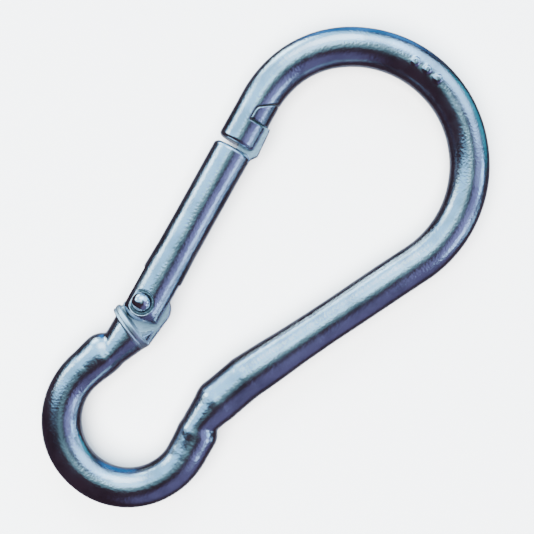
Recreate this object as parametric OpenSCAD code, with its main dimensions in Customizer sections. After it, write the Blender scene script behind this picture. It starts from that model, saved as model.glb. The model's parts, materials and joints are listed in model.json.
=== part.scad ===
// Snap hook bent from one round bar, with a sprung gate that opens inwards.
// It lies flat: +X runs from the small eye to the bow, +Y points to the gate's side, +Z is up.
// The origin is the centre of the small eye, in the bar's middle plane.

/* [Bar and eye] */
// Diameter of the bar that the hook is bent from
bar_d = 10; // [9.5:0.25:10.25]
// Inside diameter of the small eye
eye_d = 23.2; // [22.8:0.2:23.8]

/* [Bow] */
// Inside width of the bow, across its round end
bow_d = 48.6; // [47.8:0.2:49.4]
// Slope of the straight spine away from the hook's length
spine_lean = 13.3; // [12.3:0.5:14.3]

/* [Gate] */
// Distance of the gate's hinge from the eye's centre, along the hook
hinge_x = 24.3; // [23.9:0.2:24.9]
// Distance of the gate's axis from the hook's length, at the hinge
hinge_y = 16.4; // [16.2:0.1:16.6]
// Slope of the closed gate
gate_lean = 13.8; // [13.4:0.2:14.2]
// How far the gate swings in before its foot lands on the collar
open_angle = 40; // [25:1:40]

/* [Hidden] */
$fn = 96;
bend_facets = 192;
bar_facets = 64;
pip_facets = 32;

steel = [0.70, 0.75, 0.82];
bright_steel = [0.82, 0.86, 0.92];
spring_steel = [0.55, 0.57, 0.60];

bar_r = bar_d / 2;
eye_r = (eye_d + bar_d) / 2;

// Where a bend meets the next length of bar it runs on a little and is a hair thicker, so that
// the two surfaces cross cleanly
seam = 0.03;
lap = 0.2;

// Cuts run over the edge of what they cut by this much
over = 1;

// The ring's two ends: each runs on straight from the angle where it leaves the circle, then
// stops in a round lobe that the next stretch grows out of.
arm_angle = 84;
arm_len = 6;
arm_lobe_r = bar_r + 0.35;
arm_lobe = polar(arm_angle, eye_r) + polar(arm_angle - 90, arm_len);
leg_angle = -76;
leg_len = 5.2;
leg_lobe_r = bar_r + 0.1;
leg_lobe = polar(leg_angle, eye_r) + polar(leg_angle + 90, leg_len);

// A ball at a joint stands this far out of the bars that meet in it
ball_stand = 0.05;

// The waist, where the leg lobe flares into the thick foot of the spine, and the point past the
// foot from which the spine is straight
waist_start = leg_lobe + [0, 1.5];
waist_r = 3.8;
spine_foot = [18.6, -12.9];
spine_start = [27.6, -14];
foot_r = 5.6;
swell_len = 20;

// The bow's three bends after the spine, as [radius of the bar's centre line, sweep]
shoulder_sweep = 33.7;
nose_sweep = 18.4;
bow_sweep = 180 + gate_lean + spine_lean - shoulder_sweep - nose_sweep;
bends = [[(bow_d + bar_d) / 2, bow_sweep], [24, shoulder_sweep], [30, nose_sweep]];

// The spine is as long as it has to be for the nose to end up in line with the gate
hinge = [hinge_x, hinge_y];
bow_start_to_nose = span(-spine_lean);
gap_to_close = cross(polar(gate_lean), spine_start + bow_start_to_nose - hinge);
spine_len = gap_to_close / sin(spine_lean + gate_lean);
spine_end = spine_start + polar(-spine_lean, spine_len);
nose = spine_end + bow_start_to_nose;

// Along the gate's axis, counted from the hinge
claw_len = 11.8;
nose_gap = 1.15;
claw_end = norm(nose - hinge) - claw_len;
gate_end = claw_end - nose_gap;
end_bevel = 0.7;

// Hinge: the pin sits a little outside the gate's axis, so that the spring shuts the gate
pin_offset = 1;
pin_r = 1.5;
pin_fit = 0.05;
fork_r = 4.7;
fork_bar_r = bar_r + 0.25;
slot_end = 7.8;
slot_t = 3.8;
tongue_t = 3.2;
cam_r = 4.9;
cam_centre = [-0.5, -2.6];
tongue_eye_r = 3.6;
tongue_root_top = [-5.4, 3.3];
tongue_root_bottom = [-8.7, -6.5];

// Collar behind the hinge, square to the neck and tilted to the gate. Its rim is bevelled on the
// gate's side, and a groove parts a thin lip from it on the neck's side.
collar_centre = [-6.8, 0.6];
collar_tilt = 24.4;
collar_r = 6.4;
collar_t = 2.2;
collar_bevel = 0.5;
groove_depth = 0.35;
lip_t = 0.75;
lip_drop = 0.15;

// Neck from the arm's lobe to the collar, which it meets a little off its centre
neck_r = 3.5;
neck_drop = 1.5;
neck_end_r = 5.6;
neck_end_drop = 0.8;

// Shoulder between the collar and the gate's foot, scooped out for the foot to turn in
shoulder_r = 5.2;
shoulder_end = -2;
scoop_r = 7.4;
scoop_top_r = 9.5;

// Rivet heads and the spot faces they sit on
seat_z = 4;
seat_r = 3.1;
head_ball_r = 2.6;
head_ball_z = 3.5;
rivet_lap = 0.1;

// Lock: the gate's web and its cross head, and the claw's slot and pocket around them
web_t = 3;
web_slot_t = 3.5;
web_edge = -0.7;
web_slot_edge = -0.4;
web_root = 4;
head_foot = claw_end + 7.1;
fin_heel = [gate_end + 1, -6.2];
fin_toe = [head_foot, -5.7];
head_lap = 1;
head_top = -0.35;
head_round_r = 2;
head_round_end = 50;
head_round_steps = 4;
head_slope_end = [5.8, -4];
head_tip = 6.7;
head_gap = 0.25;
foot_gap = 0.5;
web_slot_len = 7;

// Spring and plunger, in a blind bore along the gate's axis
bore_r = 1.8;
bore_end = 30;
plunger_r = bore_r - 0.05;
plunger_rest_gap = 0.04;
plunger_len = 6;
stem_r = 1;
stem_len = 4;
wire_d = 0.5;
wire_gap = 0.02;
coil_r = 1.4;
closed_pitch = 0.56;
turns = 12;
wire_sides = 8;
rings_per_turn = 16;

// Raised grade pips on the far end of the bow
pip_r = 1.1;
pip_stand = 0.3;
pip_sink = 0.5;
pip_angles = [-2, 4.7, 11.4];

// A vector in the hook's plane
function polar(angle, r = 1) = r * [cos(angle), sin(angle)];

// From one end of a left-hand bend to the other
function bend_step(heading, bend) =
    bend[0] * (polar(heading + bend[1] - 90) - polar(heading - 90));

// From the start of the bends to their end
function span(heading, i = 0) =
    i == len(bends)
        ? [0, 0]
        : bend_step(heading, bends[i]) + span(heading + bends[i][1], i + 1);

// Points on an arc
function arc(centre, r, from, to, steps) =
    [for (k = [0:steps]) centre + polar(from + (to - from) * k / steps, r)];

// Side view of the lock head, which is rounded at its heel and slopes off towards the bow
function head_side(foot, grow) =
    let (out = [head_foot + grow, grow])
    let (round_at = [head_round_r, head_top - head_round_r])
    let (heel = arc(round_at, head_round_r, 90, head_round_end, head_round_steps))
    concat(
        [[foot, head_top + grow]],
        [for (p = heel) out + p],
        [out + head_slope_end, out + [head_tip, -bar_d], [foot, -bar_d]]
    );

// Round bar from p to q, tapering from r_p to r_q
module taper(p, q, r_p, r_q) {
    step = q - p;
    translate([p.x, p.y, 0])
        rotate([0, 0, atan2(step.y, step.x)])
            rotate([0, 90, 0])
                cylinder(r1 = r_p, r2 = r_q, h = norm(step));
}

// Ball in the bar, turned so that its poles are inside the lengths that meet there
module knuckle(p, r) {
    translate([p.x, p.y, 0])
        rotate([0, 90, 0])
            sphere(r = r);
}

// Bar that turns left about the z axis, from p on, and runs on a little at both ends
module bend(p, heading, radius, sweep, run_on, r) {
    centre = p + polar(heading + 90, radius);
    extra = run_on / radius * 180 / PI;
    translate([centre.x, centre.y, 0])
        rotate([0, 0, heading - 90 - extra])
            rotate_extrude(angle = sweep + 2 * extra, $fn = bend_facets)
                translate([radius, 0])
                    circle(r = r, $fn = bar_facets);
}

// Every other bend is the one that laps over its neighbours
module bend_run(p, heading, i = 0) {
    if (i < len(bends)) {
        laps = i % 2 == 0;
        bend(p, heading, bends[i][0], bends[i][1], laps ? lap : 0, laps ? bar_r + seam : bar_r);
        bend_run(p + bend_step(heading, bends[i]), heading + bends[i][1], i + 1);
    }
}

// The gate's own frame: x along its axis from the hinge, y outwards
module at_gate() {
    translate([hinge.x, hinge.y, 0])
        rotate([0, 0, gate_lean])
            children();
}

module at_pin() {
    at_gate()
        translate([0, pin_offset, 0])
            children();
}

module along_x(from) {
    translate([from, 0, 0])
        rotate([0, 90, 0])
            children();
}

module slab(thickness) {
    translate([0, 0, -thickness / 2])
        linear_extrude(height = thickness)
            children();
}

// The ring and its two straight ends
module eye_ring() {
    ring_sweep = 360 + leg_angle - arm_angle;
    bend(polar(arm_angle, eye_r), arm_angle + 90, eye_r, ring_sweep, lap, bar_r + seam);
    taper(polar(arm_angle, eye_r), arm_lobe, bar_r, arm_lobe_r - ball_stand);
    taper(polar(leg_angle, eye_r), leg_lobe, bar_r, bar_r);
    knuckle(arm_lobe, arm_lobe_r);
    knuckle(leg_lobe, leg_lobe_r);
}

// Waist, spine and the bow's bends, up to the start of the claw
module spine_and_bow() {
    swell_end = spine_start + polar(-spine_lean, swell_len);
    taper(waist_start, spine_foot, waist_r, foot_r);
    knuckle(spine_foot, foot_r + ball_stand);
    taper(spine_foot, spine_start, foot_r, foot_r);
    knuckle(spine_start, foot_r + ball_stand);
    taper(spine_start, swell_end, foot_r, bar_r + seam);
    taper(spine_start, spine_end, bar_r, bar_r);
    bend_run(spine_end, -spine_lean);
}

// Bar end in line with the gate, slotted for the web and pocketed for the lock head
module claw() {
    at_gate()
        difference() {
            union() {
                along_x(claw_end + end_bevel)
                    cylinder(r = bar_r, h = claw_len - end_bevel);
                along_x(claw_end)
                    cylinder(r1 = bar_r - end_bevel, r2 = bar_r, h = end_bevel);
            }
            translate([claw_end - over, -bar_d, -web_slot_t / 2])
                cube([web_slot_len + over, bar_d + web_slot_edge, web_slot_t]);
        }
}

module head_pocket() {
    at_gate()
        slab(2 * bar_d)
            polygon(head_side(head_foot - foot_gap, head_gap));
}

module at_collar() {
    at_gate()
        translate(collar_centre)
            rotate([0, 0, -collar_tilt])
                children();
}

// Disc with a grooved rim
module collar() {
    half = collar_t / 2;
    groove = half - lip_t;
    at_collar()
        rotate([0, -90, 0])
            rotate_extrude()
                polygon([
                    [0, -half], [collar_r - collar_bevel, -half], [collar_r, collar_bevel - half],
                    [collar_r, groove - groove_depth], [collar_r - groove_depth, groove],
                    [collar_r - lip_drop, half - lip_t / 2], [collar_r - collar_bevel, half],
                    [0, half]
                ]);
}

// What is left in front of the collar when the gate's foot has been given room to turn
module hinge_shoulder() {
    difference() {
        at_gate()
            along_x(collar_centre.x - shoulder_r)
                cylinder(r = shoulder_r, h = shoulder_end - collar_centre.x + shoulder_r);
        at_collar()
            translate([-2 * bar_d, -bar_d, -bar_d])
                cube(2 * bar_d);
        for (side = [-1, 1])
            at_pin()
                scale([1, 1, side])
                    translate([0, 0, tongue_t / 2])
                        cylinder(r1 = scoop_r, r2 = scoop_top_r, h = bar_d / 2);
    }
}

// Flat tongue: the eye for the pin, and the round cam that the plunger presses on
module tongue() {
    at_pin()
        slab(tongue_t)
            difference() {
                union() {
                    circle(r = tongue_eye_r);
                    translate(cam_centre)
                        circle(r = cam_r);
                    polygon([
                        tongue_root_top, [0, tongue_eye_r], cam_centre,
                        cam_centre + [0, -cam_r], tongue_root_bottom
                    ]);
                }
                circle(r = pin_r + pin_fit);
            }
}

module pips() {
    bow_centre = spine_end + polar(90 - spine_lean, bends[0][0]);
    for (angle = pip_angles) {
        place = bow_centre + polar(angle, bends[0][0]);
        translate([place.x, place.y, bar_r - pip_sink])
            cylinder(r = pip_r, h = pip_sink + pip_stand, $fn = pip_facets);
    }
}

module hook_body() {
    neck_start = arm_lobe - [0, neck_drop];
    collar_at = polar(gate_lean, collar_centre.x) + polar(gate_lean + 90, collar_centre.y);
    neck_end = hinge + collar_at - [0, neck_end_drop];
    color(steel) {
        difference() {
            union() {
                eye_ring();
                spine_and_bow();
                claw();
                taper(neck_start, neck_end, neck_r, neck_end_r);
                collar();
                hinge_shoulder();
                tongue();
                pips();
            }
            head_pocket();
        }
    }
}

// Side view of the gate's foot: round about the pin, then a flat that lands on the collar
module foot_outline() {
    flat_angle = 180 - collar_tilt + open_angle;
    pin = [0, pin_offset];
    flat_start = pin + polar(flat_angle, fork_r);
    inner = -bar_r - over;
    flat_run = (inner - flat_start.y) / cos(flat_angle);
    flat_end = flat_start + polar(flat_angle + 90, flat_run);
    translate(pin)
        circle(r = fork_r);
    polygon([
        pin + [0, fork_r], flat_start, flat_end,
        [gate_end + over, inner], [gate_end + over, pin_offset + fork_r]
    ]);
}

// The bar is a little thicker at its forked foot
module gate_bar() {
    intersection() {
        union() {
            along_x(-bar_d)
                cylinder(r = fork_bar_r, h = bar_d + slot_end);
            along_x(slot_end)
                cylinder(r1 = fork_bar_r, r2 = bar_r, h = slot_end);
            along_x(2 * slot_end - lap)
                cylinder(r = bar_r, h = gate_end - end_bevel - 2 * slot_end + lap);
            along_x(gate_end - end_bevel)
                cylinder(r1 = bar_r, r2 = bar_r - end_bevel, h = end_bevel);
        }
        slab(2 * bar_d)
            foot_outline();
    }
}

// Web that runs through the claw's slot, with a fin that stands proud of the bar
module lock_web() {
    slab(web_t)
        polygon([
            [gate_end - web_root, web_edge], [gate_end - web_root, -bar_r + end_bevel],
            [gate_end - end_bevel, -bar_r - seam], fin_heel, fin_toe,
            [fin_toe.x, -bar_r + end_bevel], [head_foot + head_lap, -bar_r + end_bevel],
            [head_foot + head_lap, web_edge]
        ]);
}

module lock_head() {
    intersection() {
        along_x(head_foot - head_lap)
            cylinder(r = bar_r, h = bar_d);
        slab(2 * bar_d)
            polygon(head_side(head_foot, 0));
    }
}

module gate() {
    color(steel)
        at_gate()
            difference() {
                union() {
                    gate_bar();
                    lock_web();
                    lock_head();
                }
                translate([-bar_d, -bar_d, -slot_t / 2])
                    cube([bar_d + slot_end, 2 * bar_d, slot_t]);
                along_x(slot_end - over)
                    cylinder(r = bore_r, h = bore_end - slot_end + over);
                translate([0, pin_offset, -bar_d]) {
                    cylinder(r = pin_r, h = 2 * bar_d);
                    cylinder(r = seat_r, h = bar_d - seat_z);
                }
                translate([0, pin_offset, seat_z])
                    cylinder(r = seat_r, h = bar_d);
            }
}

module hinge_rivet() {
    color(bright_steel)
        at_pin() {
            translate([0, 0, -seat_z - rivet_lap])
                cylinder(r = pin_r, h = 2 * (seat_z + rivet_lap));
            for (side = [-1, 1])
                scale([1, 1, side])
                    intersection() {
                        translate([0, 0, head_ball_z])
                            sphere(r = head_ball_r);
                        translate([0, 0, seat_z])
                            cylinder(r = seat_r, h = bar_d);
                    }
        }
}

// Where the plunger's round nose is centred when it rests on the closed gate's cam
function plunger_nose() =
    let (reach = cam_r + plunger_r + plunger_rest_gap)
    let (across = -pin_offset - cam_centre.y)
    cam_centre.x + sqrt(reach * reach - across * across);

module spring_plunger() {
    nose_x = plunger_nose();
    color(bright_steel)
        at_gate() {
            translate([nose_x, 0, 0])
                sphere(r = plunger_r - seam);
            along_x(nose_x)
                cylinder(r = plunger_r, h = plunger_len);
            along_x(nose_x + plunger_len / 2)
                cylinder(r = stem_r, h = plunger_len / 2 + stem_len);
        }
}

// Height of the coil after some turns: the first and the last turn are closed
function coil_rise(turn, active_pitch) =
    turn < 1 ? turn * closed_pitch
    : turn < turns - 1 ? closed_pitch + (turn - 1) * active_pitch
    : closed_pitch * (turn - turns + 2) + (turns - 2) * active_pitch;

module gate_spring() {
    start = plunger_nose() + plunger_len + wire_d / 2 + wire_gap;
    free_len = bore_end - wire_gap - wire_d / 2 - start;
    active_pitch = (free_len - 2 * closed_pitch) / (turns - 2);
    rings = turns * rings_per_turn;
    points = [
        for (k = [0:rings], s = [0:wire_sides - 1])
            let (turn = k / rings_per_turn)
            let (out = coil_r + wire_d / 2 * cos(360 * s / wire_sides))
            [
                start + coil_rise(turn, active_pitch) + wire_d / 2 * sin(360 * s / wire_sides),
                out * cos(360 * turn),
                out * sin(360 * turn)
            ]
    ];
    sides = [
        for (k = [0:rings - 1], s = [0:wire_sides - 1])
            let (next = (s + 1) % wire_sides)
            let (row = k * wire_sides)
            [row + s, row + next, row + wire_sides + next, row + wire_sides + s]
    ];
    caps = [
        [for (s = [wire_sides - 1:-1:0]) s],
        [for (s = [0:wire_sides - 1]) rings * wire_sides + s]
    ];
    color(spring_steel)
        at_gate()
            polyhedron(points, concat(sides, caps));
}

hook_body();
gate();
hinge_rivet();
spring_plunger();
gate_spring();
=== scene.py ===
"""Looks of the snap hook: the bent bar, its gate, the rivet, the plunger and the spring.

Each solid piece but the spring is a distance field with worn edges, turned into a closed mesh.
Sizes are millimetres in the row frame: +X from the small eye to the bow, +Y to the gate's side,
+Z up. The gate has a frame of its own: u along its axis from the hinge, v outwards.
"""

import json
import math

import bpy
import numpy as np
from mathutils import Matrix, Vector


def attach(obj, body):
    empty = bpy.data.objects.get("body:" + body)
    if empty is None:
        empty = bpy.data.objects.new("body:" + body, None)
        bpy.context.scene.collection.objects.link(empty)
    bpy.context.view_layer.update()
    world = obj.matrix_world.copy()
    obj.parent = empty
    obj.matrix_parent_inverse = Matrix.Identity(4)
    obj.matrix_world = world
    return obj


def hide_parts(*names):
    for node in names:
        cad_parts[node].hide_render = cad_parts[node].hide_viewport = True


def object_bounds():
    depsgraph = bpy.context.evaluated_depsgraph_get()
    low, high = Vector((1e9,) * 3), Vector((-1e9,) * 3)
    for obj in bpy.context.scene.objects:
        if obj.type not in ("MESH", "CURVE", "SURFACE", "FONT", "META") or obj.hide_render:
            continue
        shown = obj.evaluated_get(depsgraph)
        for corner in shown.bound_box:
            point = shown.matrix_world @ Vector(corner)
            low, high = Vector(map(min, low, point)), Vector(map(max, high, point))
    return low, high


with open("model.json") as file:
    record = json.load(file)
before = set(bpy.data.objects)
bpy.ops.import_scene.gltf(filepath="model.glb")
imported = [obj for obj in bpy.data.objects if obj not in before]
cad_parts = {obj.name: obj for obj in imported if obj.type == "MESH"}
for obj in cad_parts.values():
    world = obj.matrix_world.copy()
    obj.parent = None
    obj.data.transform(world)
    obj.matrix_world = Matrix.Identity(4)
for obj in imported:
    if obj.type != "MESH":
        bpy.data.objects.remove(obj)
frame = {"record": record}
cad_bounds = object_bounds()

MM = 0.001


def polar(angle, r=1.0):
    """A vector in the hook's plane."""
    return r * np.array([math.cos(math.radians(angle)), math.sin(math.radians(angle))])


# ---- Sizes, as in the CAD ----

BAR_R = 5.0
EYE_R = 16.6
ARM_ANGLE, ARM_LEN, ARM_LOBE_R = 84, 6.0, 5.35
LEG_ANGLE, LEG_LEN, LEG_LOBE_R = -76, 5.2, 5.1
ARM_LOBE = polar(ARM_ANGLE, EYE_R) + polar(ARM_ANGLE - 90, ARM_LEN)
LEG_LOBE = polar(LEG_ANGLE, EYE_R) + polar(LEG_ANGLE + 90, LEG_LEN)

WAIST_START, WAIST_R = LEG_LOBE + [0, 1.5], 3.8
SPINE_FOOT, SPINE_START, FOOT_R = np.array([18.6, -12.9]), np.array([27.6, -14.0]), 5.65
SWELL_LEN = 20.0
SPINE_LEAN = 13.3

HINGE, GATE_LEAN, OPEN_ANGLE = np.array([24.3, 16.4]), 13.8, 40
SHOULDER_SWEEP, NOSE_SWEEP = 33.7, 18.4
BOW_SWEEP = 180 + GATE_LEAN + SPINE_LEAN - SHOULDER_SWEEP - NOSE_SWEEP
BENDS = [(29.3, BOW_SWEEP), (24.0, SHOULDER_SWEEP), (30.0, NOSE_SWEEP)]

CLAW_LEN, NOSE_GAP, END_BEVEL = 11.8, 1.15, 0.7
PIN, PIN_R, PIN_FIT = np.array([0, 1.0]), 1.5, 0.05
FORK_R, FORK_BAR_R, SLOT_END, SLOT_T = 4.7, 5.25, 7.8, 3.8
TONGUE_T, TONGUE_EYE_R = 3.2, 3.6
CAM_CENTRE, CAM_R = PIN + [-0.5, -2.6], 4.9
COLLAR_AT, COLLAR_TILT, COLLAR_R, COLLAR_T = np.array([-6.8, 0.6]), 24.4, 6.4, 2.2
LIP_T, LIP_DROP, GROOVE_DEPTH = 0.75, 0.15, 0.35
NECK_R, NECK_DROP, NECK_END_R, NECK_END_DROP = 3.5, 1.5, 5.6, 0.8
SHOULDER_R, SHOULDER_END, SCOOP_R, SCOOP_TOP_R = 5.2, -2.0, 7.4, 9.5
SEAT_Z, SEAT_R, HEAD_BALL_R, HEAD_BALL_Z = 4.0, 3.1, 2.6, 3.5
WEB_T, WEB_SLOT_T, WEB_EDGE, WEB_SLOT_EDGE, WEB_SLOT_LEN = 3.0, 3.5, -0.7, -0.4, 7.0
HEAD_TOP, HEAD_ROUND_R, HEAD_SLOPE_END, HEAD_TIP = -0.35, 2.0, np.array([5.8, -4]), 6.7
HEAD_GAP, FOOT_GAP = 0.25, 0.5
BORE_R, BORE_END, PLUNGER_R, PLUNGER_LEN = 1.8, 30.0, 1.75, 6.0
PLUNGER_REST_GAP, STEM_R, STEM_LEN = 0.04, 1.0, 4.0
WIRE_R, COIL_R, CLOSED_PITCH, TURNS, WIRE_GAP = 0.25, 1.4, 0.56, 12, 0.02
PIP_R, PIP_STAND, PIP_ANGLES = 1.1, 0.3, (-2, 4.7, 11.4)
TONGUE_ROOT_TOP, TONGUE_ROOT_BOTTOM = PIN + [-5.4, 3.3], PIN + [-8.7, -6.5]
WEB_ROOT, HEAD_LAP, HEAD_SET_IN, OVER = 4.0, 1.0, 7.1, 1.0
FIN_START, FIN_HEEL_V, FIN_TOE_V = 1.0, -6.2, -5.7

# ---- Sizes that only the looks have ----

# The waist and the neck start as ovals as tall as the ring's ends are thick, where the CAD has
# round bars. Each one rises out of the ring over a short oval lead.
WAIST_TALL, NECK_TALL = LEG_LOBE_R, ARM_LOBE_R
LEAD_LEN, LEAD_R, LEAD_TALL, WAIST_LEAD_DROP, NECK_LEAD_DROP = 6.0, 2.4, 4.0, 0.5, -0.6

# How far the claw's slot runs on at both ends, where the pocket or the air is already, where the
# plunger's stem starts inside it, from its nose, and where the bore starts inside the gate's slot
WEB_SLOT_LAP, STEM_START, BORE_START = 0.5, 2.0, 6.0

# Widths over which faces run into each other: where bars join, in corners, and on edges
JOIN, FOOT_JOIN, RING_FILLET, FORGED_FILLET, PIP_FILLET = 0.2, 0.3, 0.6, 0.3, 0.35
COLLAR_FILLET, WEB_FILLET, PIN_FILLET = 0.25, 0.3, 0.1
COLLAR_EDGE, SCOOP_EDGE, TONGUE_EDGE, TONGUE_HOLE_EDGE = 0.45, 0.3, 0.4, 0.2
BAR_END_EDGE, BEVEL_EDGE, CLAW_CUT_EDGE, PIP_EDGE = 0.15, 0.3, 0.22, 0.4
FOOT_EDGE, FOOT_TOP_EDGE, WEB_EDGE_WORN, WEB_CORNER, HEAD_EDGE = 0.4, 3.2, 0.35, 0.1, 0.35
FORK_EDGE, BORE_EDGE, SEAT_EDGE, PIN_HOLE_EDGE, TURNED_EDGE = 0.35, 0.15, 0.25, 0.1, 0.2
STEM_EDGE = 0.3

# The heights between which the gate's foot goes over from its inner edge to its outer one
FOOT_FADE = (SLOT_T / 2, 5.2)

# How deep the hollows of hand polishing are, how far the gate's are shifted from the hook's, and
# the air between pieces that fit each other
HOOK_HOLLOWS, GATE_HOLLOWS, HOLLOWS_SHIFT = 0.10, 0.08, 40
FIT, HEAD_FIT = 0.02, 0.05

# How far the painted crevice shade looks for metal outside the surface and wear looks inside it,
# and where matt faces fade in: by how level a face is, by its height, and by its distance from the
# collar
CREVICE_REACH, EDGE_REACH = 0.8, 0.35
LEVEL_FADE, SUNK_FADE, COLLAR_FADE = (0.93, 0.98), (3.2, 2.6), (0.24, 0.09)


def bend_step(heading, bend):
    """From one end of a left-hand bend to the other."""
    return bend[0] * (polar(heading + bend[1] - 90) - polar(heading - 90))


def bend_headings():
    """The direction in which each bend starts."""
    heading = -SPINE_LEAN
    for _, sweep in BENDS:
        yield heading
        heading += sweep


START_TO_NOSE = sum(bend_step(h, b) for h, b in zip(bend_headings(), BENDS))
ACROSS = SPINE_START + START_TO_NOSE - HINGE
GATE_DIR = polar(GATE_LEAN)
GAP_TO_CLOSE = GATE_DIR[0] * ACROSS[1] - GATE_DIR[1] * ACROSS[0]
SPINE_END = SPINE_START + polar(
    -SPINE_LEAN, GAP_TO_CLOSE / math.sin(math.radians(SPINE_LEAN + GATE_LEAN))
)
NOSE_ALONG = float(np.linalg.norm(SPINE_END + START_TO_NOSE - HINGE))
CLAW_END = NOSE_ALONG - CLAW_LEN
GATE_END = CLAW_END - NOSE_GAP
HEAD_FOOT = CLAW_END + HEAD_SET_IN
FIN_HEEL, FIN_TOE = np.array([GATE_END + FIN_START, FIN_HEEL_V]), np.array([HEAD_FOOT, FIN_TOE_V])


# ---- Distance fields: negative inside, in millimetres ----


def soft_min(a, b, k):
    """Union, with the inner corner filled by about k / 4."""
    h = np.clip(0.5 + 0.5 * (b - a) / k, 0, 1)
    return b + (a - b) * h - k * h * (1 - h)


def soft_max(a, b, k):
    """Intersection, with the outer corner worn off."""
    return -soft_min(-a, -b, k)


def fade(value, none, full):
    """From 0 at one value to 1 at another."""
    return np.clip((value - none) / (full - none), 0, 1)


def taper(x, y, z, p, q, r_p, r_q, tall_p=None, tall_q=None):
    """Bar from p to q with round ends: round and eased, or oval and straight if it has heights."""
    step = q - p
    t = np.clip(((x - p[0]) * step[0] + (y - p[1]) * step[1]) / (step @ step), 0, 1)
    share = t if tall_p else t * t * (3 - 2 * t)
    r = r_p + share * (r_q - r_p)
    if tall_p:
        z = z * r / (tall_p + share * (tall_q - tall_p))
    return np.sqrt((x - p[0] - t * step[0]) ** 2 + (y - p[1] - t * step[1]) ** 2 + z * z) - r


def lead_in(x, y, z, p, drop, r, tall):
    """Oval that comes out of the ring and ends where the bar starts, at p."""
    back = p - np.array([LEAD_LEN, drop])
    return taper(x, y, z, back, p, LEAD_R, r, LEAD_TALL, tall)


def arc_bar(x, y, z, centre, radius, start, sweep, r):
    """Round bar bent along an arc."""
    half = math.radians(sweep / 2)
    middle = math.radians(start + sweep / 2)
    turn = np.arctan2(y - centre[1], x - centre[0]) - middle
    turn = np.clip((turn + math.pi) % (2 * math.pi) - math.pi, -half, half) + middle
    out_x = x - centre[0] - radius * np.cos(turn)
    out_y = y - centre[1] - radius * np.sin(turn)
    return np.sqrt(out_x**2 + out_y**2 + z * z) - r


def circle(x, y, centre, r):
    return np.hypot(x - centre[0], y - centre[1]) - r


def polygon(x, y, corners):
    """Flat shape with straight sides."""
    nearest = np.full_like(x, 1e9)
    inside = np.zeros(x.shape, bool)
    for a, b in zip(corners, corners[1:] + corners[:1]):
        ex, ey = b[0] - a[0], b[1] - a[1]
        t = np.clip(((x - a[0]) * ex + (y - a[1]) * ey) / (ex * ex + ey * ey), 0, 1)
        nearest = np.minimum(nearest, np.hypot(x - a[0] - t * ex, y - a[1] - t * ey))
        if ey != 0:
            crosses = (a[1] > y) != (b[1] > y)
            inside ^= crosses & (x < a[0] + (y - a[1]) * ex / ey)
    return np.where(inside, -nearest, nearest)


def slab(z, thickness):
    return np.abs(z) - thickness / 2


def to_gate(x, y):
    """The row frame's x and y in the gate's own frame."""
    dx, dy = x - HINGE[0], y - HINGE[1]
    return dx * GATE_DIR[0] + dy * GATE_DIR[1], dy * GATE_DIR[0] - dx * GATE_DIR[1]


def from_gate(u, v):
    """The gate frame's u and v in the row frame."""
    return (
        HINGE[0] + u * GATE_DIR[0] - v * GATE_DIR[1],
        HINGE[1] + u * GATE_DIR[1] + v * GATE_DIR[0],
    )


def unevenness(x, y, z, depth):
    """Slow hollows of hand polishing. They only take metal away."""
    wave = np.sin(0.21 * x + 0.7 * np.sin(0.13 * y)) * np.sin(0.17 * y + 0.3 * z + 1.3)
    ripple = np.sin(0.43 * x + 0.3 * z) * np.sin(0.51 * y - 0.2 * x + 0.4 * z)
    return depth * (0.5 + 0.4 * wave + 0.1 * ripple)


def head_side(foot, grow):
    """Side view of the lock head: rounded heel, then a slope towards the bow."""
    out = np.array([HEAD_FOOT + grow, grow])
    round_at = out + [HEAD_ROUND_R, HEAD_TOP - HEAD_ROUND_R]
    heel = [round_at + polar(angle, HEAD_ROUND_R) for angle in (90, 80, 70, 60, 50)]
    tip = [out + HEAD_SLOPE_END, out + [HEAD_TIP, -2 * BAR_R], np.array([foot, -2 * BAR_R])]
    return [np.array([foot, HEAD_TOP + grow])] + heel + tip


def collar(u, v, z):
    """Main ridge and thin lip, with the groove between them."""
    tilt = polar(-COLLAR_TILT)
    du, dv = u - COLLAR_AT[0], v - COLLAR_AT[1]
    along = du * tilt[0] + dv * tilt[1]
    out = np.sqrt((dv * tilt[0] - du * tilt[1]) ** 2 + z * z)
    half = COLLAR_T / 2
    groove_at = LIP_T - half
    ridge_at, ridge_half = (half + groove_at) / 2, (half - groove_at) / 2
    ridge = soft_max(out - COLLAR_R, np.abs(along - ridge_at) - ridge_half, COLLAR_EDGE)
    lip_at, lip_half = (groove_at - half) / 2, (groove_at + half) / 2
    lip = soft_max(out - COLLAR_R + LIP_DROP, np.abs(along - lip_at) - lip_half, COLLAR_EDGE)
    core = soft_max(out - COLLAR_R + GROOVE_DEPTH, np.abs(along) - half, COLLAR_EDGE)
    return np.minimum(np.minimum(ridge, lip), core), along


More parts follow.
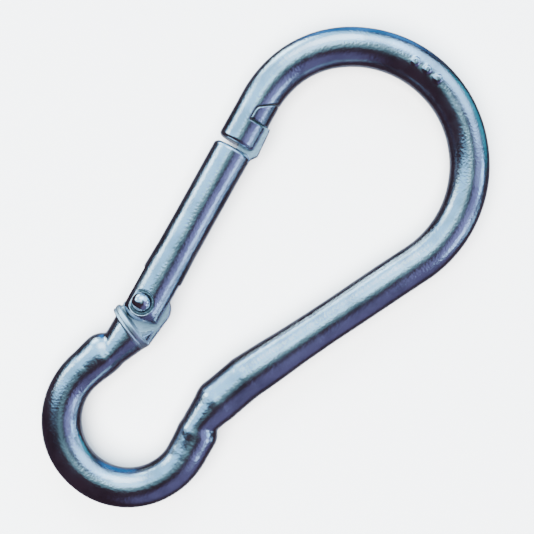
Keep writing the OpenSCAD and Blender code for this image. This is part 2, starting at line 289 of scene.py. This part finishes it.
def hinge_end(x, y, z):
    """Collar, scooped shoulder and tongue."""
    u, v = to_gate(x, y)
    disc, along = collar(u, v, z)
    round_bar = np.hypot(v, z) - SHOULDER_R
    shoulder = soft_max(round_bar, u - SHOULDER_END, SCOOP_EDGE)
    shoulder = np.maximum(shoulder, -along)
    to_pin = circle(u, v, PIN, 0)
    above = np.abs(z) - TONGUE_T / 2
    scoop = to_pin - SCOOP_R - (SCOOP_TOP_R - SCOOP_R) * np.clip(above / BAR_R, 0, 1)
    shoulder = soft_max(shoulder, -np.maximum(scoop, -above), SCOOP_EDGE)
    root = [
        TONGUE_ROOT_TOP,
        PIN + [0, TONGUE_EYE_R],
        CAM_CENTRE,
        CAM_CENTRE + [0, -CAM_R],
        TONGUE_ROOT_BOTTOM,
    ]
    side = np.minimum(circle(u, v, PIN, TONGUE_EYE_R), circle(u, v, CAM_CENTRE, CAM_R))
    side = np.minimum(side, polygon(u, v, root))
    flat = soft_max(side, slab(z, TONGUE_T), TONGUE_EDGE)
    flat = soft_max(flat, -circle(u, v, PIN, PIN_R + PIN_FIT), TONGUE_HOLE_EDGE)
    return soft_min(disc, np.minimum(shoulder, flat), COLLAR_FILLET)


def claw(x, y, z):
    """Bar end in line with the gate, before the slot and the pocket are cut."""
    u, v = to_gate(x, y)
    out = np.hypot(v, z) - BAR_R
    bevel = (out + CLAW_END - u + END_BEVEL) * math.sqrt(0.5)
    end = soft_max(soft_max(out, CLAW_END - u, BAR_END_EDGE), bevel, BEVEL_EDGE)
    return np.maximum(end, u - NOSE_ALONG)


def lock_cuts(x, y, z):
    """Room in the claw for the gate's web and its head."""
    u, v = to_gate(x, y)
    web = np.maximum(np.maximum(v - WEB_SLOT_EDGE, -v - 2 * BAR_R), slab(z, WEB_SLOT_T))
    half = WEB_SLOT_LEN / 2
    web = np.maximum(web, np.abs(u - CLAW_END - half) - half - WEB_SLOT_LAP)
    pocket = polygon(u, v, head_side(HEAD_FOOT - FOOT_GAP, HEAD_GAP))
    return np.minimum(web, pocket)


def pips(x, y, z):
    """Three low domes on the bow."""
    centre = SPINE_END + polar(90 - SPINE_LEAN, BENDS[0][0])
    nearest = np.full_like(x, 1e9)
    for angle in PIP_ANGLES:
        place = centre + polar(angle, BENDS[0][0])
        rim = soft_max(circle(x, y, place, PIP_R), z - BAR_R - PIP_STAND, PIP_EDGE)
        nearest = np.minimum(nearest, np.maximum(rim, BAR_R - OVER - z))
    return nearest


def hook_field(x, y, z):
    """The bent bar, from the tongue round the eye, the spine and the bow to the claw."""
    ring = arc_bar(x, y, z, (0, 0), EYE_R, ARM_ANGLE, 360 + LEG_ANGLE - ARM_ANGLE, BAR_R)
    arm = taper(x, y, z, polar(ARM_ANGLE, EYE_R), ARM_LOBE, BAR_R, ARM_LOBE_R)
    leg = taper(x, y, z, polar(LEG_ANGLE, EYE_R), LEG_LOBE, BAR_R, LEG_LOBE_R)
    eye = soft_min(ring, np.minimum(arm, leg), JOIN)

    neck_end = np.array(from_gate(*COLLAR_AT)) - [0, NECK_END_DROP]
    neck_start = ARM_LOBE - [0, NECK_DROP]
    neck = taper(x, y, z, neck_start, neck_end, NECK_R, NECK_END_R, NECK_TALL, NECK_END_R)
    neck_lead = lead_in(x, y, z, neck_start, NECK_LEAD_DROP, NECK_R, NECK_TALL)
    neck = soft_min(neck, neck_lead, JOIN)
    _, along = collar(*to_gate(x, y), z)
    neck = np.maximum(neck, along)
    hinge_side = soft_min(neck, hinge_end(x, y, z), FORGED_FILLET)

    swell_end = SPINE_START + polar(-SPINE_LEAN, SWELL_LEN)
    waist_lead = lead_in(x, y, z, WAIST_START, WAIST_LEAD_DROP, WAIST_R, WAIST_TALL)
    spine = soft_min(
        taper(x, y, z, WAIST_START, SPINE_FOOT, WAIST_R, FOOT_R, WAIST_TALL, FOOT_R),
        taper(x, y, z, SPINE_FOOT, SPINE_START, FOOT_R, FOOT_R),
        FOOT_JOIN,
    )
    spine = soft_min(spine, taper(x, y, z, SPINE_START, swell_end, FOOT_R, BAR_R), JOIN)
    spine = soft_min(spine, waist_lead, JOIN)
    bow = taper(x, y, z, SPINE_START, SPINE_END, BAR_R, BAR_R)
    start = SPINE_END
    for heading, bend in zip(bend_headings(), BENDS):
        centre = start + polar(heading + 90, bend[0])
        bow = np.minimum(bow, arc_bar(x, y, z, centre, bend[0], heading - 90, bend[1], BAR_R))
        start = start + bend_step(heading, bend)
    bow = np.minimum(bow, claw(x, y, z))

    whole = soft_min(eye, hinge_side, RING_FILLET)
    whole = soft_min(whole, soft_min(spine, bow, JOIN), RING_FILLET)
    whole = soft_min(whole, pips(x, y, z), PIP_FILLET)
    whole = whole + unevenness(x, y, z, HOOK_HOLLOWS)
    return soft_max(whole, -lock_cuts(x, y, z), CLAW_CUT_EDGE)


def foot_side(u, v):
    """Side view of the gate: round about the pin, then the flat that lands on the collar."""
    flat_angle = 180 - COLLAR_TILT + OPEN_ANGLE
    flat_start = PIN + polar(flat_angle, FORK_R)
    inner = -BAR_R - OVER
    run = (inner - flat_start[1]) / math.cos(math.radians(flat_angle))
    corners = [
        PIN + [0, FORK_R],
        flat_start,
        flat_start + polar(flat_angle + 90, run),
        np.array([GATE_END + BAR_R, inner]),
        np.array([GATE_END + BAR_R, PIN[1] + FORK_R]),
    ]
    return np.minimum(circle(u, v, PIN, FORK_R), polygon(u, v, corners))


def gate_field(u, v, z):
    """Forked bar with its web and cross head, in the gate's own frame."""
    thick = FORK_BAR_R - (FORK_BAR_R - BAR_R) * np.clip(u / SLOT_END - 1, 0, 1)
    out = np.hypot(v, z)
    bevel = (out - BAR_R + u - GATE_END + END_BEVEL) * math.sqrt(0.5)
    bar = soft_max(soft_max(out - thick, u - GATE_END, BAR_END_EDGE), bevel, BEVEL_EDGE)
    foot_edge = FOOT_EDGE + (FOOT_TOP_EDGE - FOOT_EDGE) * fade(np.abs(z), *FOOT_FADE)
    bar = soft_max(bar, foot_side(u, v), foot_edge)
    bar = bar + unevenness(u + HOLLOWS_SHIFT, v, z, GATE_HOLLOWS)

    inside = END_BEVEL - BAR_R
    outline = [
        np.array([GATE_END - WEB_ROOT, WEB_EDGE]),
        np.array([GATE_END - WEB_ROOT, inside]),
        np.array([GATE_END - END_BEVEL, -BAR_R]),
        FIN_HEEL,
        FIN_TOE,
        np.array([FIN_TOE[0], inside]),
        np.array([HEAD_FOOT + HEAD_LAP, inside]),
        np.array([HEAD_FOOT + HEAD_LAP, WEB_EDGE]),
    ]
    worn = WEB_EDGE_WORN / 2
    web = soft_max(polygon(u, v, outline) + worn, slab(z, WEB_T) + worn, WEB_CORNER) - worn
    head = soft_max(out - BAR_R + HEAD_FIT, polygon(u, v, head_side(HEAD_FOOT, 0)), HEAD_EDGE)
    solid = np.minimum(soft_min(bar, web, WEB_FILLET), head)

    slot = np.maximum(u - SLOT_END, slab(z, SLOT_T))
    bore = np.maximum(out - BORE_R, np.maximum(BORE_START - u, u - BORE_END))
    to_pin = circle(u, v, PIN, 0)
    seats = np.maximum(to_pin - SEAT_R, SEAT_Z - np.abs(z))
    hole = to_pin - PIN_R - FIT
    solid = soft_max(solid, -slot, FORK_EDGE)
    solid = soft_max(solid, -bore, BORE_EDGE)
    solid = soft_max(solid, -seats, SEAT_EDGE)
    return soft_max(solid, -hole, PIN_HOLE_EDGE)


def rivet_field(u, v, z):
    """Pin with a ball head at each end, in the gate's own frame."""
    out = circle(u, v, PIN, 0)
    shank = np.maximum(out - PIN_R, np.abs(z) - SEAT_Z - TURNED_EDGE)
    ball = np.sqrt(out**2 + (np.abs(z) - HEAD_BALL_Z) ** 2) - HEAD_BALL_R + FIT
    return soft_min(shank, soft_max(ball, SEAT_Z - np.abs(z), TURNED_EDGE), PIN_FILLET)


def plunger_nose():
    """Where the plunger's round nose is centred when the gate is closed."""
    reach = CAM_R + PLUNGER_R + PLUNGER_REST_GAP
    return CAM_CENTRE[0] + math.sqrt(reach**2 - CAM_CENTRE[1] ** 2)


def plunger_field(u, v, z):
    """Round-nosed push pin with a thin stem for the spring, in the gate's own frame."""
    nose = plunger_nose()
    out = np.hypot(v, z)
    ball = np.sqrt(out**2 + (u - nose) ** 2) - PLUNGER_R + FIT
    half = PLUNGER_LEN / 2
    body = soft_max(out - PLUNGER_R, np.abs(u - nose - half) - half, TURNED_EDGE)
    stem_end = nose + PLUNGER_LEN + STEM_LEN
    stem = np.maximum(nose + STEM_START - u, u - stem_end)
    stem = soft_max(out - STEM_R, stem, STEM_EDGE)
    return soft_min(np.minimum(ball, body), stem, JOIN)


def everything(x, y, z):
    """The hook with its closed gate, in the row frame."""
    u, v = to_gate(x, y)
    moving = np.minimum(gate_field(u, v, z), rivet_field(u, v, z))
    return np.minimum(hook_field(x, y, z), moving)


# ---- Meshing ----


def axis(low, high, coarse, fine=None, fine_spans=()):
    """Grid positions that lie closer together inside the fine spans."""
    places = [low]
    while places[-1] < high:
        here = places[-1]
        close = any(a - coarse <= here < b for a, b in fine_spans)
        places.append(here + (fine if close else coarse))
    return np.array(places)


def sample(field, grid, block=6, margin=1.0):
    """The field on the grid, worked out only in the blocks that the surface may cross."""
    axes, halves, counts = [], [], []
    for places in grid:
        starts = np.arange(0, len(places), block)
        ends = np.minimum(starts + block, len(places)) - 1
        axes.append((places[starts] + places[ends]) / 2)
        halves.append((places[ends] - places[starts]) / 2)
        counts.append(ends - starts + 1)
    centre = np.meshgrid(*axes, indexing="ij")
    reach = np.sqrt(sum(h**2 for h in np.meshgrid(*halves, indexing="ij")))
    far = field(*(c.ravel() for c in centre)).reshape(centre[0].shape)
    near = np.abs(far) < reach + margin
    values = np.where(far < 0, -1e3, 1e3).astype(np.float32)
    for n, count in enumerate(counts):
        values = np.repeat(values, count, axis=n)
        near = np.repeat(near, count, axis=n)
    i, j, k = np.nonzero(near)
    x, y, z = (g.astype(np.float32) for g in grid)
    values[i, j, k] = field(x[i], y[j], z[k])
    return values


def crossings(values, grid):
    """One point in each grid cell that the surface crosses, and the quads between them."""
    inside = values < 0
    shape = tuple(n - 1 for n in values.shape)
    corners = [(a, b, c) for a in (0, 1) for b in (0, 1) for c in (0, 1)]

    def shifted(array, corner):
        return array[tuple(slice(s, s + n) for s, n in zip(corner, shape))]

    count = sum(shifted(inside, c).astype(np.uint8) for c in corners)
    active = (count > 0) & (count < 8)
    cell = np.argwhere(active)
    at = {c: values[tuple((cell + c).T)] for c in corners}
    total = np.zeros((len(cell), 3))
    hits = np.zeros(len(cell))
    for a in corners:
        for way in range(3):
            if a[way]:
                continue
            b = tuple(1 if n == way else a[n] for n in range(3))
            cut = (at[a] < 0) != (at[b] < 0)
            share = np.where(cut, at[a] / np.where(cut, at[a] - at[b], 1), 0)
            point = np.tile(np.array(a, float), (len(cell), 1))
            point[:, way] += share
            total += point * cut[:, None]
            hits += cut
    unit = total / hits[:, None]
    points = np.empty_like(unit)
    for n, places in enumerate(grid):
        low, high = places[cell[:, n]], places[cell[:, n] + 1]
        points[:, n] = low + unit[:, n] * (high - low)

    number = np.full(shape, -1, np.int64)
    number[active] = np.arange(len(cell))
    quads = []
    for way in range(3):
        full = tuple(slice(1, -1) if n != way else slice(None, -1) for n in range(3))
        next_ = tuple(slice(1, -1) if n != way else slice(1, None) for n in range(3))
        start_in = inside[full] & ~inside[next_]
        end_in = ~inside[full] & inside[next_]
        one, two = [n for n in range(3) if n != way]
        for found, turned in ((start_in, way == 1), (end_in, way != 1)):
            edge = np.argwhere(found) + [0 if n == way else 1 for n in range(3)]
            steps = [(0, 0), (1, 0), (1, 1), (0, 1)]
            ring = []
            for s, t in steps:
                back = edge.copy()
                back[:, one] -= 1 - s
                back[:, two] -= 1 - t
                ring.append(number[tuple(back.T)])
            quads.append(np.stack(ring[::-1] if turned else ring, 1))
    return points, np.concatenate(quads)


def slope(field, points, step=0.02):
    """The field's outward direction at each point."""
    gradient = np.empty_like(points)
    for n in range(3):
        ahead, behind = points.copy(), points.copy()
        ahead[:, n] += step
        behind[:, n] -= step
        gradient[:, n] = (field(*ahead.T) - field(*behind.T)) / (2 * step)
    return gradient


def surface(field, grid, flattest=0.2, longest_move=0.12):
    """Closed mesh of the field's zero surface: points, quads and normals."""
    points, quads = crossings(sample(field, grid), grid)
    for _ in range(2):
        gradient = slope(field, points)
        size = np.maximum((gradient**2).sum(1), flattest)
        move = -gradient * (field(*points.T) / size)[:, None]
        length = np.maximum(np.linalg.norm(move, axis=1), 1e-9)
        points = points + move * np.minimum(1, longest_move / length)[:, None]
    normals = slope(field, points, 0.04)
    normals /= np.maximum(np.linalg.norm(normals, axis=1), 1e-6)[:, None]
    return points, quads, normals


def wear_and_shade_marks(points, normals):
    """Three marks from 0 to 1: which crevices get painted shade, which edges are rubbed bright,
    what is matt.

    The matt faces are the level ones that lie below the bar's top, and the collar's.
    """
    x, y, z = points.T
    # Painted shade: a point with other metal close outside it lies in a crevice and is marked to
    # be darkened.
    crevice_shade = 1 - everything(*(points + CREVICE_REACH * normals).T) / CREVICE_REACH
    edge = 1 + everything(*(points - EDGE_REACH * normals).T) / EDGE_REACH
    level = fade(np.abs(normals[:, 2]), *LEVEL_FADE)
    sunk = fade(np.abs(z), *SUNK_FADE)
    disc, _ = collar(*to_gate(x, y), z)
    marks = {
        "crevice_shade": np.clip(crevice_shade, 0, 1),
        "edge": np.clip(edge, 0, 1),
        "matt": np.maximum(level * sunk, fade(np.abs(disc), *COLLAR_FADE)),
    }
    return marks


def add_mesh(name, points, faces, normals=None, marks=None):
    """A mesh object in the row frame from points in millimetres."""
    data = bpy.data.meshes.new(name)
    faces = np.asarray(faces)
    data.vertices.add(len(points))
    data.vertices.foreach_set("co", (np.asarray(points) * MM).astype(np.float32).ravel())
    data.loops.add(faces.size)
    data.loops.foreach_set("vertex_index", faces.astype(np.int32).ravel())
    data.polygons.add(len(faces))
    starts = np.arange(len(faces), dtype=np.int32) * faces.shape[1]
    data.polygons.foreach_set("loop_start", starts)
    data.update(calc_edges=True)
    data.shade_smooth()
    if normals is not None:
        data.normals_split_custom_set_from_vertices(normals.astype(np.float32))
    for key, values in (marks or {}).items():
        attribute = data.attributes.new(key, "FLOAT", "POINT")
        attribute.data.foreach_set("value", values.astype(np.float32))
    piece = bpy.data.objects.new(name, data)
    bpy.context.scene.collection.objects.link(piece)
    return piece


def solid_piece(name, field, grid, in_gate_frame):
    """One piece from its field, meshed in its own frame and placed in the row frame."""
    points, quads, normals = surface(field, grid)
    if in_gate_frame:
        points[:, 0], points[:, 1] = from_gate(points[:, 0], points[:, 1])
        nu, nv = normals[:, 0].copy(), normals[:, 1].copy()
        normals[:, 0] = nu * GATE_DIR[0] - nv * GATE_DIR[1]
        normals[:, 1] = nu * GATE_DIR[1] + nv * GATE_DIR[0]
    return add_mesh(name, points, quads, normals, wear_and_shade_marks(points, normals))


def make_hook():
    """Its grid is fine round the hinge's end and the claw."""
    fine = 0.22
    grid = (
        axis(-23.0, 120.5, 0.7, fine, [(12, 34), (67, 84)]),
        axis(-34.0, 39.0, 0.6, fine, [(8, 37)]),
        axis(-7.0, 7.0, 0.3),
    )
    return solid_piece("hook", hook_field, grid, False)


def make_gate():
    """Its grid is fine at the fork and at the lock head."""
    grid = (
        axis(-7.0, HEAD_FOOT + HEAD_TIP + 1, 0.8, 0.2, [(-7, 12), (GATE_END - 5, 62)]),
        axis(-8.0, 7.0, 0.25),
        axis(-6.5, 6.5, 0.25),
    )
    return solid_piece("gate_bar", gate_field, grid, True)


def make_rivet():
    grid = (axis(-3.0, 3.0, 0.16), axis(-2.0, 4.0, 0.16), axis(-6.5, 6.5, 0.16))
    return solid_piece("rivet", rivet_field, grid, True)


def make_plunger():
    nose = plunger_nose()
    grid = (axis(nose - 3, nose + 12, 0.2), axis(-2.2, 2.2, 0.16), axis(-2.2, 2.2, 0.16))
    return solid_piece("plunger_pin", plunger_field, grid, True)


def make_spring():
    """Round wire wound from the plunger's shoulder to the bottom of the bore."""
    start = plunger_nose() + PLUNGER_LEN + WIRE_R + WIRE_GAP
    length = BORE_END - WIRE_GAP - WIRE_R - start
    pitch = (length - 2 * CLOSED_PITCH) / (TURNS - 2)
    sides, per_turn = 10, 28
    turn = np.linspace(0, TURNS, TURNS * per_turn + 1)
    rise = start + np.interp(
        turn,
        [0, 1, TURNS - 1, TURNS],
        [0, CLOSED_PITCH, CLOSED_PITCH + (TURNS - 2) * pitch, length],
    )
    angle = 2 * math.pi * turn[:, None]
    round_wire = 2 * math.pi * np.arange(sides)[None, :] / sides
    out = COIL_R + WIRE_R * np.cos(round_wire)
    u = rise[:, None] + WIRE_R * np.sin(round_wire)
    x, y = from_gate(u, out * np.cos(angle))
    points = np.stack([x.ravel(), y.ravel(), (out * np.sin(angle)).ravel()], 1)
    rows = np.arange(len(turn) - 1)[:, None] * sides
    side = np.arange(sides)[None, :]
    after = (side + 1) % sides
    walls = np.stack([rows + side, rows + after, rows + sides + after, rows + sides + side], 2)
    last = (len(turn) - 1) * sides
    caps = []
    for n in range(1, sides - 1, 2):
        caps.append([n + 1, n, 0, n + 2])
        caps.append([last, last + n, last + n + 1, last + n + 2])
    faces = np.concatenate([walls.reshape(-1, 4), np.array(caps)])
    return add_mesh("spring_coil", points, faces)


# ---- Materials ----

# The first colour is painted shade, near black, for crevices; the second is the colour of rubbed
# edges.
CREVICE_SHADE_COLOUR, RUBBED_COLOUR = (0.055, 0.06, 0.075), (0.86, 0.89, 0.95)
MATT_COLOUR, MATT_ROUGHNESS = (0.90, 0.93, 0.95), 0.46

# The noises that make the grain: scale, detail and depth in metres
GRAIN = [(700, 2, 0.00004), (1700, 3, 0.00012)]


def steel(name, colour, roughness, grain, worn_and_shaded):
    """Stainless steel with mottled colour and gloss and a fine grain.

    A worn and shaded one also has painted shade in its crevices, rubbed edges and matt faces,
    where the marks show them.
    """
    material = bpy.data.materials.new(name)
    material.use_nodes = True
    nodes, links = material.node_tree.nodes, material.node_tree.links
    shader = nodes["Principled BSDF"]
    shader.inputs["Metallic"].default_value = 1.0

    place = nodes.new("ShaderNodeTexCoord").outputs["Object"]

    def noise(scale, detail):
        texture = nodes.new("ShaderNodeTexNoise")
        texture.inputs["Scale"].default_value = scale
        texture.inputs["Detail"].default_value = detail
        links.new(place, texture.inputs["Vector"])
        return texture.outputs["Fac"]

    def ramp(source, stops):
        node = nodes.new("ShaderNodeValToRGB")
        elements = node.color_ramp.elements
        while len(elements) < len(stops):
            elements.new(0.5)
        for element, (position, value) in zip(elements, stops):
            element.position = position
            element.color = (*value, 1) if isinstance(value, tuple) else (value,) * 3 + (1,)
        links.new(source, node.inputs["Fac"])
        return node.outputs["Color"]

    def blend(share, under, over):
        node = nodes.new("ShaderNodeMix")
        node.data_type = "RGBA"
        links.new(share, node.inputs[0])
        links.new(under, node.inputs[6])
        node.inputs[7].default_value = (*over, 1)
        return node.outputs[2]

    def marked(key):
        node = nodes.new("ShaderNodeAttribute")
        node.attribute_name = key
        return node.outputs["Fac"]

    dark = tuple(c * 0.72 for c in colour)
    light = tuple(min(1, c * 1.06) for c in colour)
    mottle = ramp(noise(140, 4), [(0.35, dark), (0.55, colour), (0.75, light)])
    low, high = roughness
    smear = ramp(noise(220, 5), [(0.3, low), (0.7, high)])
    if worn_and_shaded:
        # Painted shade: crevices turn near black, like the shade that falls in them; rubbed edges
        # and matt faces are wear.
        painted_crevice_shade = ramp(marked("crevice_shade"), [(0.35, 0), (0.95, 0.9)])
        rubbed = ramp(marked("edge"), [(0.25, 0), (0.8, 0.8)])
        matt = ramp(marked("matt"), [(0.3, 0), (0.9, 0.85)])
        for share, shade in ((painted_crevice_shade, CREVICE_SHADE_COLOUR), (rubbed, RUBBED_COLOUR), (matt, MATT_COLOUR)):
            mottle = blend(share, mottle, shade)
        smear = blend(matt, smear, (MATT_ROUGHNESS,) * 3)
    links.new(mottle, shader.inputs["Base Color"])
    links.new(smear, shader.inputs["Roughness"])

    target = shader.inputs["Normal"]
    for scale, detail, depth in GRAIN:
        bump = nodes.new("ShaderNodeBump")
        bump.inputs["Strength"].default_value = grain
        bump.inputs["Distance"].default_value = depth
        links.new(noise(scale, detail), bump.inputs["Height"])
        links.new(bump.outputs["Normal"], target)
        target = bump.inputs["Normal"]
    return material


def floor_material():
    material = bpy.data.materials.new("pale_floor")
    material.use_nodes = True
    shader = material.node_tree.nodes["Principled BSDF"]
    shader.inputs["Base Color"].default_value = (0.9, 0.9, 0.9, 1)
    shader.inputs["Roughness"].default_value = 0.9
    return material


# ---- Pieces ----

COLOURS = {m["slot"]: m["base_color"] for m in frame["record"]["materials"]}

# Each piece: how it is made, its body, the CAD node it replaces, its material slot, the range of
# its roughness, the strength of its grain, and whether it has rubbed edges, matt faces and painted
# shade in its crevices
PIECES = [
    (make_hook, "hook", "hook_body", "forged_steel", (0.14, 0.24), 0.5, True),
    (make_gate, "gate", "gate", "gate_steel", (0.14, 0.24), 0.5, True),
    (make_rivet, "gate", "hinge_rivet", "rivet_steel", (0.08, 0.14), 0.15, False),
    (make_plunger, "plunger", "spring_plunger", "rivet_steel", (0.14, 0.22), 0.15, False),
    (make_spring, "gate", "gate_spring", "spring_wire", (0.25, 0.40), 0.30, False),
]

materials = {}
for make, body, node, slot, roughness, grain, worn_and_shaded in PIECES:
    if slot not in materials:
        materials[slot] = steel(slot, tuple(COLOURS[slot]), roughness, grain, worn_and_shaded)
    piece = make()
    piece.data.materials.append(materials[slot])
    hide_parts(node)
    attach(piece, body)


# ---- Stage, light and camera ----


def add_floor():
    half, gap = 3.0, 0.0003
    level = cad_bounds[0].z - gap
    corners = [(a * half, b * half, level) for a, b in ((-1, -1), (1, -1), (1, 1), (-1, 1))]
    data = bpy.data.meshes.new("floor")
    data.from_pydata(corners, [], [(0, 1, 2, 3)])
    floor = bpy.data.objects.new("floor", data)
    floor.data.materials.append(floor_material())
    floor.visible_glossy = False
    floor.visible_shadow = False
    bpy.context.scene.collection.objects.link(floor)


CAMERA_TURN = -47.0
CAMERA_AT = np.array([51.33, 0.81, 310.0]) * MM
CAMERA_LENS = 84.2


def add_camera():
    """Straight down, as the photograph was taken."""
    data = bpy.data.cameras.new("camera")
    data.sensor_width = 36.0
    data.lens = CAMERA_LENS
    data.clip_start, data.clip_end = 0.01, 20
    camera = bpy.data.objects.new("camera", data)
    camera.location = CAMERA_AT
    camera.rotation_euler = (0, 0, math.radians(CAMERA_TURN))
    bpy.context.scene.collection.objects.link(camera)
    bpy.context.scene.camera = camera


def add_light(name, azimuth, from_up, size, power, colour):
    """Soft box a metre away, in a direction given in the picture. Reflections don't show it."""
    data = bpy.data.lights.new(name, "AREA")
    data.shape = "RECTANGLE"
    data.size = data.size_y = size
    data.energy = power
    data.color = colour
    light = bpy.data.objects.new(name, data)
    back = Vector(picture_direction(azimuth, from_up))
    light.location = Vector((CAMERA_AT[0], CAMERA_AT[1], 0)) + back
    light.rotation_mode = "QUATERNION"
    light.rotation_quaternion = (-back).to_track_quat("-Z", "Y")
    light.visible_glossy = False
    bpy.context.scene.collection.objects.link(light)


# Soft areas of light round the hook, which only its reflections show. Each has a direction, as
# azimuth in the picture (0 right, 90 up) and angle from straight up, two half-widths, where it is
# full and where it has faded out, and a colour. All angles are degrees.
GLOWS = [
    (116, 57, 38, 50, (0.70, 1.62, 2.35)),
    (95, 50, 5, 24, (2.4, 2.5, 2.4)),
    (150, 74, 4, 12, (3.6, 4.2, 4.0)),
    (120, 92, 8, 18, (3.0, 4.0, 4.2)),
    (105, 16, 3, 13, (0.9, 1.3, 1.4)),
    (105, 4, 5, 22, (0.16, 0.38, 0.44)),
    (48, 58, 12, 36, (1.1, 2.0, 2.9)),
    (-8, 52, 14, 34, (0.26, 0.30, 0.66)),
    (-29, 70, 4, 12, (1.2, 1.9, 2.8)),
    (0, 72, 3, 11, (1.4, 3.0, 4.6)),
    (-20, 94, 3, 12, (0.4, 0.8, 1.2)),
    (25, 98, 8, 24, (0.02, 0.55, 0.75)),
    (82, 116, 12, 30, (0.02, 0.32, 0.85)),
    (300, 75, 20, 46, (0.09, 0.10, 0.24)),
    (0, 180, 26, 48, (0.30, 0.35, 0.42)),
]

# What shows in reflections where there is no glow, and what the camera sees behind everything
DARK = (0.050, 0.028, 0.044)
BACKDROP = (0.80, 0.82, 0.85, 1)


def picture_direction(azimuth, from_up):
    """Unit vector in the row frame for a direction given in the picture."""
    across = math.radians(azimuth + CAMERA_TURN)
    tilt = math.radians(from_up)
    flat = math.sin(tilt)
    return (math.cos(across) * flat, math.sin(across) * flat, math.cos(tilt))


def add_world():
    """Blue daylight round the hook, which only its reflections see, and a plain backdrop."""
    world = bpy.data.worlds.new("studio")
    world.use_nodes = True
    nodes, links = world.node_tree.nodes, world.node_tree.links
    direction = nodes.new("ShaderNodeTexCoord").outputs["Generated"]
    total = None
    for azimuth, from_up, full, faded, colour in GLOWS:
        nearness = nodes.new("ShaderNodeVectorMath")
        nearness.operation = "DOT_PRODUCT"
        links.new(direction, nearness.inputs[0])
        nearness.inputs[1].default_value = picture_direction(azimuth, from_up)
        share = nodes.new("ShaderNodeMapRange")
        share.interpolation_type = "SMOOTHSTEP"
        share.inputs["From Min"].default_value = math.cos(math.radians(faded))
        share.inputs["From Max"].default_value = math.cos(math.radians(full))
        links.new(nearness.outputs["Value"], share.inputs["Value"])
        glow = nodes.new("ShaderNodeVectorMath")
        glow.operation = "MULTIPLY_ADD"
        links.new(share.outputs["Result"], glow.inputs[0])
        glow.inputs[1].default_value = colour
        if total is None:
            glow.inputs[2].default_value = DARK
        else:
            links.new(total, glow.inputs[2])
        total = glow.outputs["Vector"]
    room = nodes["Background"]
    links.new(total, room.inputs["Color"])
    backdrop = nodes.new("ShaderNodeBackground")
    backdrop.inputs["Color"].default_value = BACKDROP
    mix = nodes.new("ShaderNodeMixShader")
    links.new(nodes.new("ShaderNodeLightPath").outputs["Is Camera Ray"], mix.inputs["Fac"])
    links.new(room.outputs["Background"], mix.inputs[1])
    links.new(backdrop.outputs["Background"], mix.inputs[2])
    links.new(mix.outputs["Shader"], nodes["World Output"].inputs["Surface"])
    bpy.context.scene.world = world


add_floor()
add_camera()
add_world()
add_light("key", 100, 46, 0.3, 6, (1.0, 1.0, 1.0))
add_light("fill", 235, 16, 0.9, 75, (1.0, 0.99, 0.97))
